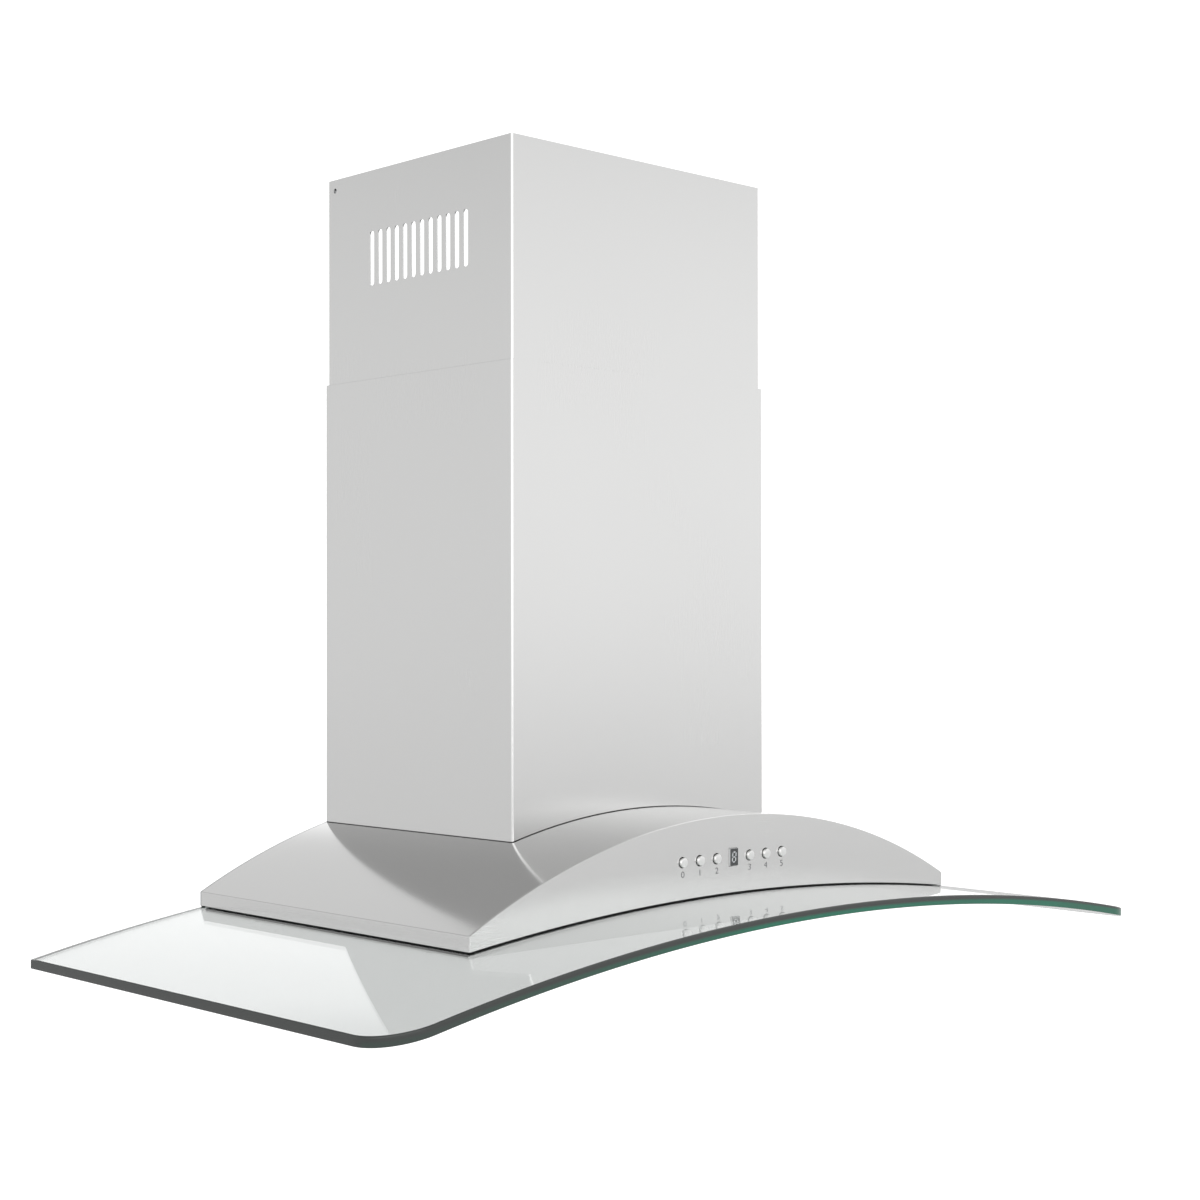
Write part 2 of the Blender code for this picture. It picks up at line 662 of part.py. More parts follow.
def make_blower(mats):
    y, z = scroll_centre()
    half, wall = HOUSING_HALF_WIDTH, FRONT_SHEET
    reach = half - wall - TOUCH_GAP
    outline = scroll_line(0) + scroll_line(wall)[::-1]
    prism("blower_wrap", mats["zinc"], outline, -reach, reach, axis="x")
    inlet = [circle((y, z), INLET_RADIUS, 32)]
    prism("blower_side_left", mats["zinc"], scroll_line(0), -half, wall - half, axis="x", holes=inlet)
    prism("blower_side_right", mats["zinc"], scroll_line(0), half - wall, half, axis="x", holes=inlet)

    ring_x = -half - TOUCH_GAP
    lip, rim = INLET_RADIUS - 3, INLET_RADIUS + 9
    profile = [(lip, 0), (rim, 0), (rim, -PLATE), (INLET_RADIUS + 3, -PLATE), (INLET_RADIUS, -5), (lip, -3)]
    turned("inlet_ring", mats["black"], profile, (ring_x, y, z), axis="x", closed=True)

    shaft_end = SHAFT_LENGTH - HUB_RADIUS
    bore, bore_end, face, shoulder = SHAFT_RADIUS + TOUCH_GAP, shaft_end + 1, MOTOR_FACE_X, MOTOR_SHOULDER
    profile = [(0, bore_end), (bore, bore_end), (bore, face), (MOTOR_RADIUS - shoulder, face)]
    profile += [(MOTOR_RADIUS, face + shoulder), (MOTOR_RADIUS, half - shoulder)]
    profile += [(MOTOR_RADIUS - shoulder, half), (0, half)]
    turned("blower_motor", mats["zinc"], profile, (0, y, z), axis="x")

    arms = []
    for start in (100, 220, 340):
        outer = arc((y, z), INLET_RADIUS + 2, start, start + 96, 8)
        arms.append(outer + arc((y, z), MOTOR_RADIUS + 4, start + 96, start, 8))
    low = half + TOUCH_GAP
    rim = circle((y, z), INLET_RADIUS + 12, 32)
    prism("motor_bracket", mats["zinc"], rim, low, low + PLATE, axis="x", holes=arms)

    start = shaft_end - SHAFT_LENGTH
    profile = [(0, start), (SHAFT_RADIUS, start), (SHAFT_RADIUS, shaft_end), (0, shaft_end)]
    turned("motor_shaft", mats["zinc"], profile, (0, y, z), axis="x", steps=20, origin=(0, y, z))
    make_impeller(mats, y, z)


def make_impeller(mats, y, z):
    """The two halves of a double-inlet wheel: each a web on a hub, with a wall cut into blades."""
    bore, hub, rim = SHAFT_RADIUS + TOUCH_GAP, HUB_RADIUS, IMPELLER_RADIUS - IMPELLER_WALL
    end, web, start = IMPELLER_HALF_WIDTH, IMPELLER_WEB, TOUCH_GAP / 2
    profile = [(bore, start), (bore, HUB_HALF_WIDTH), (hub, HUB_HALF_WIDTH), (hub, web)]
    profile += [(rim, web), (rim, end), (IMPELLER_RADIUS, end), (IMPELLER_RADIUS, start)]
    for side, name in ((-1, "left"), (1, "right")):
        line = [(radius, side * x) for radius, x in profile]
        wheel = turned(f"impeller_{name}", mats["aluminium"], line, (0, y, z), "x", 48, True, (0, y, z))
        gaps = bmesh.new()
        low, high = sorted((side * (web + 2), side * (end - BLADE_RING)))
        for outline in blade_gaps(y, z):
            add_prism(gaps, outline, low, high, axis="x")
        cut(wheel, f"impeller_gap_cutter_{name}", gaps)


def blade_gaps(y, z):
    """Side outlines of the gaps between the blades."""
    pitch = 2 * math.pi / BLADE_COUNT
    half_gap = BLADE_GAP_SHARE * pitch * IMPELLER_RADIUS
    outlines = []
    for i in range(BLADE_COUNT):
        angle = (i + 0.5) * pitch
        lean = angle + math.radians(BLADE_LEAN)
        reach = IMPELLER_RADIUS - IMPELLER_WALL / 2
        middle = Vector((y + reach * math.cos(angle), z + reach * math.sin(angle)))
        along = Vector((math.cos(lean), math.sin(lean))) * (IMPELLER_WALL / 2 + 2.5)
        across = Vector((-math.sin(lean), math.cos(lean))) * half_gap
        corners = (-along - across, along - across, along + across, across - along)
        outlines.append([tuple(middle + corner) for corner in corners])
    return outlines


def make_outlet(mats):
    """The outlet plate, the duct collar, and its two back-draught flaps."""
    front, rear = outlet_sides()
    y, z = (front + rear) / 2, outlet_top_z() + TOUCH_GAP
    half, bore = max(HOUSING_HALF_WIDTH + 3, COLLAR_RADIUS + 8), COLLAR_RADIUS - PLATE
    depth = max((rear - front) / 2 + 3, COLLAR_RADIUS + 8)
    plate = rectangle(-half, y - depth, half, y + depth)
    prism("outlet_plate", mats["zinc"], plate, z, z + PLATE, holes=[circle((0, y), bore, 40)])
    foot = z + PLATE + TOUCH_GAP
    profile = [(bore, 0), (COLLAR_RADIUS + 6, 0), (COLLAR_RADIUS + 6, PLATE), (COLLAR_RADIUS, PLATE)]
    profile += [(COLLAR_RADIUS, COLLAR_HEIGHT), (bore, COLLAR_HEIGHT)]
    collar = turned("outlet_collar", mats["black"], profile, (0, y, foot), steps=40, closed=True)
    pin_z, pin_x = foot + DAMPER_ABOVE_PLATE, PIN_RADIUS + 0.7
    pin_holes = bmesh.new()
    flap_radius = bore - 1.2
    edge = pin_x + PIN_RADIUS + TOUCH_GAP
    for side, name in ((-1, "left"), (1, "right")):
        place = (side * pin_x, y, pin_z)
        add_prism(pin_holes, circle((side * pin_x, pin_z), PIN_RADIUS + 0.25, 16), y - 90, y + 90, axis="y")
        reach = COLLAR_RADIUS + 1
        profile = [(0, -reach), (PIN_RADIUS, -reach), (PIN_RADIUS, reach), (0, reach)]
        turned(f"damper_pin_{name}", mats["zinc"], profile, place, axis="y", steps=16, origin=place)
        swing = math.degrees(math.acos(edge / flap_radius))
        outline = arc((0, y), flap_radius, -swing, swing, 20)
        outline = [(side * a, b) for a, b in outline]
        low = pin_z - PLATE / 2
        prism(f"damper_flap_{name}", mats["aluminium"], outline, low, low + PLATE, origin=place)
    cut(collar, "damper_pin_cutter", pin_holes)


def button_places():
    return [BUTTON_PITCH * i for i in (-3, -2, -1, 1, 2, 3)]


def display_box(gap):
    half_width, half_height = DISPLAY_WIDTH / 2 + gap, DISPLAY_HEIGHT / 2 + gap
    return (-half_width, CONTROL_Z - half_height, half_width, CONTROL_Z + half_height)


def make_controls(mats):
    width, height, depth = CONTROL_BOX
    front = FASCIA_BACK_Y + TOUCH_GAP
    box = (-width / 2, CONTROL_Z - height / 2, width / 2, CONTROL_Z + height / 2)
    case = prism("control_box", mats["black"], rectangle(*box), front, front + depth, axis="y")
    hollow = bmesh.new()
    add_prism(hollow, rectangle(*inset(box, 2)), front - 5, front + depth - 2, axis="y")
    cut(case, "control_box_cutter", hollow)
    board_y = FASCIA_BACK_Y + 10
    board = rectangle(*inset(box, 3.5))
    prism("control_board", mats["board"], board, board_y, board_y + 1.6, axis="y")
    face = -BODY_DEPTH - BUTTON_OUT
    flange_front = FASCIA_BACK_Y + TOUCH_GAP
    flange_back = flange_front + 1.2
    stem_end = board_y - BUTTON_TRAVEL - 0.4
    r, flange = BUTTON_RADIUS, BUTTON_RADIUS + BUTTON_FLANGE
    profile = [(0, face), (r - 0.6, face), (r, face + 0.6), (r, flange_front), (flange, flange_front)]
    profile += [(flange, flange_back), (2.5, flange_back), (2.5, stem_end), (0, stem_end)]
    for number, x in enumerate(button_places(), start=1):
        place = (x, 0, CONTROL_Z)
        turned(f"button_{number}", mats["button"], profile, place, axis="y", steps=28, origin=place)
    lip, out, seat = 1.5, DISPLAY_OUT, flange_front
    x0, z0, x1, z1 = display_box(0)
    back = board_y - TOUCH_GAP
    outline = [(-BODY_DEPTH - out, z0), (seat, z0), (seat, z0 - lip), (back, z0 - lip)]
    outline += [(back, z1 + lip), (seat, z1 + lip), (seat, z1), (-BODY_DEPTH - out, z1)]
    prism("display_window", mats["screen"], outline, x0, x1, axis="x")


def make_lamps(mats):
    for side, name in ((-1, "left"), (1, "right")):
        x, y = lamp_places()[side]
        outer, body, lens = LAMP_RADIUS + LAMP_FLANGE, LAMP_RADIUS - 0.5, LAMP_RADIUS - 3
        seat = TRAY_BOTTOM_Z - TOUCH_GAP
        recess, top = TRAY_BOTTOM_Z + 3, TRAY_BOTTOM_Z + 12
        profile = [(0, recess), (lens, recess), (lens, seat - 1.1), (outer - 0.5, seat - 1.1)]
        profile += [(outer, seat - 0.6), (outer, seat), (body, seat), (body, top), (0, top)]
        turned(f"lamp_housing_{name}", mats["white"], profile, (x, y, 0), steps=32)
        disc, low, high = lens - TOUCH_GAP, seat - 0.8, TRAY_BOTTOM_Z + 2
        turned(f"lamp_lens_{name}", mats["lens"], [(0, low), (disc, low), (disc, high), (0, high)], (x, y, 0))


def make_filters(mats):
    """Two baffle filters, each hinged on its rear edge and held by a latch at its front."""
    for side, name in ((-1, "left"), (1, "right")):
        x0, y0, x1, y1 = inset(filter_opening(side), FILTER_GAP)
        low, high = TRAY_BOTTOM_Z, TRAY_BOTTOM_Z + FILTER_DEPTH
        middle, half_notch = (x0 + x1) / 2, LATCH_WIDTH / 2 + 0.5
        notch_end = y0 + LATCH_LENGTH + LATCH_TRAVEL + 1
        outline = [(x0, y0), (middle - half_notch, y0), (middle - half_notch, notch_end)]
        outline += [(middle + half_notch, notch_end), (middle + half_notch, y0), (x1, y0), (x1, y1), (x0, y1)]
        inner = (x0 + FILTER_RIM, y0 + FILTER_FRONT_RIM, x1 - FILTER_RIM, y1 - FILTER_RIM)
        hinge = ((x0 + x1) / 2, y1 - 3, TRAY_BOTTOM_Z + 1)
        hole = [rectangle(*inner)]
        prism(f"filter_frame_{name}", mats["aluminium"], outline, low, high, holes=hole, origin=hinge)
        seat = inset(inner, TOUCH_GAP)
        pitch = (seat[2] - seat[0]) / BAFFLE_COUNT
        lower = [seat[0] + pitch * (i + 0.5) for i in range(BAFFLE_COUNT)]
        upper = [seat[0] + pitch * (i + 1) for i in range(BAFFLE_COUNT - 1)]
        levels = (("lower", lower, low + 1), ("upper", upper, low + 6))
        for level, places, z in levels:
            slots = [rectangle(x - pitch / 4, seat[1] + 8, x + pitch / 4, seat[3] - 8) for x in places]
            part = f"filter_baffle_{level}_{name}"
            prism(part, mats["aluminium"], rectangle(*seat), z, z + PLATE, holes=slots, origin=hinge)
        nose = y0 + 0.3
        block = rectangle(middle - LATCH_WIDTH / 2, nose, middle + LATCH_WIDTH / 2, nose + LATCH_LENGTH)
        latch_origin = (middle, nose, low)
        prism(f"filter_latch_{name}", mats["black"], block, low - 1.5, high - 3, origin=latch_origin)


def make_junction(mats):
    """The mains box over the left filter, with its cover below and a gland on its side."""
    width, depth, height = JUNCTION_SIZE
    x1, y1, z1 = -HALF_CHIMNEY - JUNCTION_FROM_CHIMNEY, -CUTOUT_REAR_STRIP - 3, GLASS_CROWN_Z + 15
    box = (x1 - width, y1 - depth, x1, y1)
    case = prism("junction_box", mats["grey"], rectangle(*box), z1 - height, z1)
    cuts = bmesh.new()
    add_prism(cuts, rectangle(*inset(box, JUNCTION_SHEET)), z1 - height - 5, z1 - JUNCTION_SHEET)
    gland_y, gland_z = y1 - depth / 2, z1 - height / 2
    cut(case, "junction_hollow_cutter", cuts)
    entry = bmesh.new()
    add_prism(entry, circle((gland_y, gland_z), GLAND_ENTRY_RADIUS, 20), x1 - 5, x1 + 5, axis="x")
    cut(case, "junction_entry_cutter", entry)
    cover_top = z1 - height - TOUCH_GAP
    prism("junction_cover", mats["grey"], rectangle(*box), cover_top - JUNCTION_SHEET, cover_top)
    profile = [(4, 0), (10, 0), (10, 6), (8, 8), (8, 15), (6.5, 18), (4, 18)]
    place = (x1 + TOUCH_GAP, gland_y, gland_z)
    turned("cable_gland", mats["black"], profile, place, axis="x", steps=24, closed=True)


def clear_scene():
    for obj in list(bpy.data.objects):
        bpy.data.objects.remove(obj)


def main():
    clear_scene()
    mats = make_materials()
    make_glass(mats)
    make_gaskets(mats)
    make_body(mats)
    make_tray(mats)
    make_clamps(mats)
    make_lower_chimney(mats)
    make_upper_chimney(mats)
    make_blower_seat(mats)
    make_blower(mats)
    make_outlet(mats)
    make_controls(mats)
    make_lamps(mats)
    make_filters(mats)
    make_junction(mats)


main()
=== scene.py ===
"""Looks of the wall range hood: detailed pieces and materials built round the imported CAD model.

Lengths are in metres, in the frame of the CAD: +X right along the front, -Y the front, +Z up.
"""

import json
import math

import bmesh
import bpy
from mathutils import Matrix, Vector
from mathutils.geometry import delaunay_2d_cdt


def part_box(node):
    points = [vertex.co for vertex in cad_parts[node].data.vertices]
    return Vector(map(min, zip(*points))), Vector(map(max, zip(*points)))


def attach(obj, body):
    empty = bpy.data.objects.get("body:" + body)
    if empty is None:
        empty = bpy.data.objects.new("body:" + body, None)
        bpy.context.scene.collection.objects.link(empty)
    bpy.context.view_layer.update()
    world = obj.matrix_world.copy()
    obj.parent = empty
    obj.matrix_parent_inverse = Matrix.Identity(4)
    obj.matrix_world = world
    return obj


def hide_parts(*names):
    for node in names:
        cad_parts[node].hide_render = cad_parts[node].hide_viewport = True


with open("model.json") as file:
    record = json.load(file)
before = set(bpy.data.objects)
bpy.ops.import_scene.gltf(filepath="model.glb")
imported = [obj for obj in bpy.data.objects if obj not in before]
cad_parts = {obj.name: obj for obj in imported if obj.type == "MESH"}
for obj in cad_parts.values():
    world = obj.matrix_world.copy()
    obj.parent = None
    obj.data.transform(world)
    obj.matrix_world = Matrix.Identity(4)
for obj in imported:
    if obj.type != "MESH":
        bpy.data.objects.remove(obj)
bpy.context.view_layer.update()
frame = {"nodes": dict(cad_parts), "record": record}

MM = 0.001

# Sizes of the glass, the controls and the filters
GLASS_HALF_WIDTH = 450 * MM
GLASS_CROWN = -50.7 * MM  # height of the pane's middle surface at the centre
GLASS_BEND = 2204 * MM  # radius that the pane is bent to
GLASS_THICKNESS = 8 * MM
GLASS_CORNER = 40 * MM
GLASS_ARRIS = 1.1 * MM
SCREW_HOLE = 5 * MM
CUTOUT_REAR_STRIP = 23 * MM
CUTOUT_FROM_TRAY_SIDE = 28 * MM
CUTOUT_FROM_TRAY_FRONT = 17 * MM
FASCIA_TO_BUTTON_FLANGE = 1.5 * MM
BUTTON_FLANGE = 1.5 * MM
BUTTON_STEM = 2.5 * MM
NUMERAL_SIZE = 7.4 * MM
NUMERAL_DROP = 12.4 * MM  # from a button's centre to the foot of its numeral
PRINT_OUT = 0.03 * MM  # how far print stands out from the face it is on
BAFFLE_COUNT = 9
FRAME_LAP = 8.4 * MM  # how far a filter's frame laps over the ends of its folds
FOLD_INSET = 0.65 * MM
FOLD_HEIGHT = 3.4 * MM

# Brightness of the studio: at its left and right, high up, behind the hood, in a glint from high on the
# right, and behind the camera; then of the floor, and of what is seen through the glass.
SIDE_LIGHT = (0.76, 0.97)
HIGH_SHARE = 0.52
BEHIND_LIGHT = 0.95
BEHIND_LOW_SHARE = 1.42
BEHIND_HIGH_SHARE = 0.75
GLINT_LIGHT = 1.3
AHEAD_LIGHT = 0.8
FLOOR_GLOW = 0.40
SEEN_THROUGH_GLASS = 0.42


# ---------------------------------------------------------------- node materials


class Tree:
    """A node tree, with short calls that make and join nodes."""

    def __init__(self, tree):
        self.tree = tree

    def node(self, kind, inputs=None, **settings):
        made = self.tree.nodes.new(kind)
        for key, value in settings.items():
            setattr(made, key, value)
        for key, value in (inputs or {}).items():
            self.put(made.inputs[key], value)
        return made

    def put(self, socket, value):
        if isinstance(value, bpy.types.NodeSocket):
            self.tree.links.new(value, socket)
        else:
            socket.default_value = value

    def maths(self, operation, *values):
        return self.node("ShaderNodeMath", dict(enumerate(values)), operation=operation).outputs[0]

    def spread(self, value, low, high, start=0.3, end=0.7, **settings):
        """Maps a value onto a range. By default the value is a noise, which lies between 0.3 and 0.7."""
        inputs = {"Value": value, "From Min": start, "From Max": end, "To Min": low, "To Max": high}
        return self.node("ShaderNodeMapRange", inputs, **settings).outputs[0]


class Nodes(Tree):
    """The nodes of a new material."""

    def __init__(self, name):
        self.material = bpy.data.materials.new(name)
        self.material.use_nodes = True
        super().__init__(self.material.node_tree)
        self.shader = self.tree.nodes["Principled BSDF"]
        self.coordinates = self.tree.nodes.new("ShaderNodeTexCoord").outputs["Object"]

    def set(self, **values):
        for key, value in values.items():
            self.put(self.shader.inputs[key.replace("_", " ").title().replace("Ior", "IOR")], value)

    def noise(self, scale, detail=3.0, stretch=(1, 1, 1), roughness=0.5):
        mapping = self.node("ShaderNodeMapping", {"Vector": self.coordinates, "Scale": stretch})
        inputs = {"Vector": mapping.outputs[0], "Scale": scale, "Detail": detail, "Roughness": roughness}
        return self.node("ShaderNodeTexNoise", inputs).outputs["Fac"]

    def blend(self, factor, first, second):
        mix = self.node("ShaderNodeMix", data_type="RGBA")
        first_colour, second_colour, mixed_colour = mix.inputs[6], mix.inputs[7], mix.outputs[2]
        self.put(mix.inputs["Factor"], factor)
        self.put(first_colour, (*first, 1))
        self.put(second_colour, (*second, 1))
        return mixed_colour

    def bump(self, height, strength, distance):
        inputs = {"Height": height, "Strength": strength, "Distance": distance}
        self.put(self.shader.inputs["Normal"], self.node("ShaderNodeBump", inputs).outputs[0])


def shade(colour, amount):
    return tuple(min(1.0, channel * amount) for channel in colour)


def brushed_steel(name, colour, grain_axis, roughness=0.3, anisotropy=0.4):
    """Sheet steel brushed along one axis, with fine streaks and faint cloudy handling marks."""
    m = Nodes(name)
    stretch = [1.0, 1.0, 1.0]
    stretch["xyz".index(grain_axis)] = 0.006
    streaks = m.noise(3200, 2.0, stretch)
    clouds = m.noise(5, 3.0)
    fine = m.spread(streaks, -0.014, 0.014)
    broad = m.spread(clouds, roughness - 0.02, roughness + 0.02)
    m.set(base_color=m.blend(streaks, shade(colour, 0.992), shade(colour, 1.007)))
    m.set(roughness=m.maths("ADD", fine, broad))
    m.set(metallic=1.0, anisotropic=anisotropy)
    m.bump(streaks, 0.02, 0.00001)
    return m.material


def plated_steel(name, colour, roughness=0.38):
    """Zinc plated steel: small soft spangles and a slightly uneven gloss."""
    m = Nodes(name)
    cells = m.node("ShaderNodeTexVoronoi", {"Vector": m.coordinates, "Scale": 260.0}).outputs["Distance"]
    spangle = m.spread(cells, 0.0, 1.0, 0.0, 0.9)
    m.set(base_color=m.blend(spangle, shade(colour, 0.9), shade(colour, 1.05)))
    m.set(roughness=m.spread(m.noise(30), roughness - 0.06, roughness + 0.08), metallic=1.0)
    m.bump(m.noise(900), 0.05, 0.00003)
    return m.material


def moulded(name, colour, roughness=0.45, grain=1400.0, depth=0.00003):
    """Moulded plastic or rubber: fine spark texture and a little variation in colour and gloss."""
    m = Nodes(name)
    m.set(base_color=m.blend(m.noise(40), shade(colour, 0.9), shade(colour, 1.08)))
    m.set(roughness=m.spread(m.noise(90), roughness - 0.06, roughness + 0.08))
    m.bump(m.noise(grain, 2.0), 0.25, depth)
    return m.material


def clear_glass(name, tint, roughness=0.0, transmission=1.0):
    m = Nodes(name)
    smears = m.noise(14, 4.0)
    m.set(base_color=(*tint, 1), transmission_weight=transmission, ior=1.5)
    m.set(roughness=m.spread(smears, roughness, roughness + 0.012, 0.45, 0.75))
    return m.material


def edge_tint_and_painted_shade(name):
    """Polished edge of clear glass, with painted light in its colour: painted reflection and shade make it
    grey on top and dark along the sides of the pane, and the glass's green tint shows below.

    Where the green shows is painted too: it fades in from the left end, and rises to nearly the whole height
    at the right end.
    """
    m = Nodes(name)
    x, _, z = m.node("ShaderNodeSeparateXYZ", {0: m.coordinates}).outputs
    square = m.maths("MULTIPLY", x, x)
    above_curve = m.maths("MULTIPLY_ADD", square, 1 / (2 * GLASS_BEND), z)
    level = m.maths("SUBTRACT", above_curve, m.spread(x, 0.0, 1.7 * MM, 0.1, 0.36))
    lower_part = m.spread(level, 1.0, 0.0, GLASS_CROWN - 1.4 * MM, GLASS_CROWN + 0.6 * MM)
    side = m.maths("ABSOLUTE", x)
    inside_ends = m.spread(side, 1.0, 0.0, GLASS_HALF_WIDTH - 1.5 * MM, GLASS_HALF_WIDTH - 0.3 * MM)
    bands = m.spread(m.noise(5.0, 1.0, (1, 0.2, 0.2)), 0.75, 1.0, 0.4, 0.6)
    bands = m.maths("MULTIPLY", bands, m.spread(x, 0.12, 1.0, -0.4, -0.1))
    # Painted light: where this mask is low the edge takes painted grey reflection and shade, and where it is
    # high the glass's green tint.
    green = m.maths("MULTIPLY", m.maths("MULTIPLY", lower_part, inside_ends), bands)
    m.set(base_color=m.blend(green, (0.055, 0.06, 0.058), (0.02, 0.17, 0.105)))
    m.set(transmission_weight=0.12, ior=1.5)
    m.set(roughness=m.spread(m.noise(60), 0.10, 0.16))
    return m.material


def turned_metal(name, colour, roughness=0.22):
    """Fine rings from a lathe, round an axis along Y through the piece's own origin."""
    m = Nodes(name)
    x, _, z = m.node("ShaderNodeSeparateXYZ", {0: m.coordinates}).outputs
    flat = m.node("ShaderNodeCombineXYZ", {0: x, 1: z}).outputs[0]
    length = m.node("ShaderNodeVectorMath", {0: flat}, operation="LENGTH").outputs["Value"]
    wave = m.maths("SINE", m.maths("MULTIPLY", length, 9000.0))
    m.set(base_color=m.blend(m.noise(600), shade(colour, 0.96), shade(colour, 1.03)), metallic=1.0)
    m.set(roughness=m.spread(wave, roughness - 0.03, roughness + 0.05, -1, 1))
    m.bump(wave, 0.06, 0.00001)
    return m.material


STEEL = (0.80, 0.80, 0.795)
ZINC = (0.62, 0.63, 0.64)
MATERIALS = {
    "chimney_steel": brushed_steel("chimney_steel", STEEL, "z", 0.25),
    "body_steel": brushed_steel("body_steel", STEEL, "x", 0.13, 0.2),
    "fascia_steel": brushed_steel("fascia_steel", STEEL, "x", 0.25, 0.3),
    "zinc_steel": plated_steel("zinc_steel", ZINC),
    "canopy_glass": clear_glass("canopy_glass", (0.955, 0.985, 0.975)),
    "glass_edge": edge_tint_and_painted_shade("glass_edge"),
    "foot_seal": moulded("foot_seal", (0.09, 0.09, 0.09), 0.6),
    "seal_rubber": moulded("seal_rubber", (0.02, 0.02, 0.02), 0.7),
    "black_plastic": moulded("black_plastic", (0.035, 0.035, 0.037), 0.45),
    "grey_plastic": moulded("grey_plastic", (0.35, 0.36, 0.37), 0.5),
    "white_plastic": moulded("white_plastic", (0.78, 0.78, 0.76), 0.4),
    "button_metal": turned_metal("button_metal", (0.93, 0.93, 0.92), 0.34),
    "circuit_board": moulded("circuit_board", (0.01, 0.16, 0.06), 0.35),
    "display_lens": moulded("display_lens", (0.07, 0.072, 0.075), 0.16, 300, 0.000002),
    "display_rim": moulded("display_rim", (0.85, 0.86, 0.86), 0.3),
    "lamp_lens": moulded("lamp_lens", (0.88, 0.88, 0.86), 0.3, 500, 0.0001),
    "aluminium": plated_steel("aluminium", (0.78, 0.785, 0.79), 0.34),
    "ink": moulded("ink", (0.13, 0.135, 0.14), 0.5),
    "lit_segment": moulded("lit_segment", (0.75, 0.78, 0.8), 0.3),
}


# ---------------------------------------------------------------- pieces


def add_piece(name, bm, material, node=None, body=None, origin=(0, 0, 0)):
    """A finished piece that rides on a body, and stands for a CAD node where one is named."""
    mesh = bpy.data.meshes.new(name)
    bmesh.ops.translate(bm, verts=bm.verts[:], vec=-Vector(origin))
    bm.to_mesh(mesh)
    bm.free()
    mesh.materials.append(MATERIALS[material])
    obj = bpy.data.objects.new(name, mesh)
    obj.location = origin
    bpy.context.scene.collection.objects.link(obj)
    mesh.shade_smooth()
    mesh.set_sharp_from_angle(angle=math.radians(38))
    modifier = obj.modifiers.new("even_normals", "WEIGHTED_NORMAL")
    modifier.keep_sharp = True
    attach(obj, body or body_of_node(node))
    if node:
        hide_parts(node)
    return obj


def body_of_node(node):
    for body, members in frame["record"]["behaviour"]["bodies"].items():
        if node in members:
            return body
    raise KeyError(node)


def slot_of(node):
    for entry in frame["record"]["subparts"]:
        if entry["node"] == node:
            return entry["material_slot"]
    raise KeyError(node)


def node_shape(node):
    """The CAD node's shape as a clean bmesh: split points joined and flat areas merged."""
    bm = bmesh.new()
    bm.from_mesh(frame["nodes"][node].data)
    bmesh.ops.remove_doubles(bm, verts=bm.verts[:], dist=0.001 * MM)
    bmesh.ops.dissolve_limit(bm, angle_limit=math.radians(0.3), verts=bm.verts[:], edges=bm.edges[:])
    return bm


def round_edges(bm, width, segments=2, sharper_than=35):
    """Bevels every edge that turns by more than an angle."""
    limit = math.radians(sharper_than)
    edges = [e for e in bm.edges if e.is_manifold and e.calc_face_angle(0) > limit]
    bmesh.ops.bevel(
        bm,
        geom=edges,
        offset=width,
        offset_type="OFFSET",
        segments=segments,
        profile=0.5,
        affect="EDGES",
        clamp_overlap=True,
    )


def dress(node, material, edge, segments):
    """The CAD node's shape with eased edges, as a finished piece."""
    bm = node_shape(node)
    round_edges(bm, edge, segments)
    return add_piece(f"{node}_finished", bm, material, node=node)


# ---------------------------------------------------------------- glass canopy


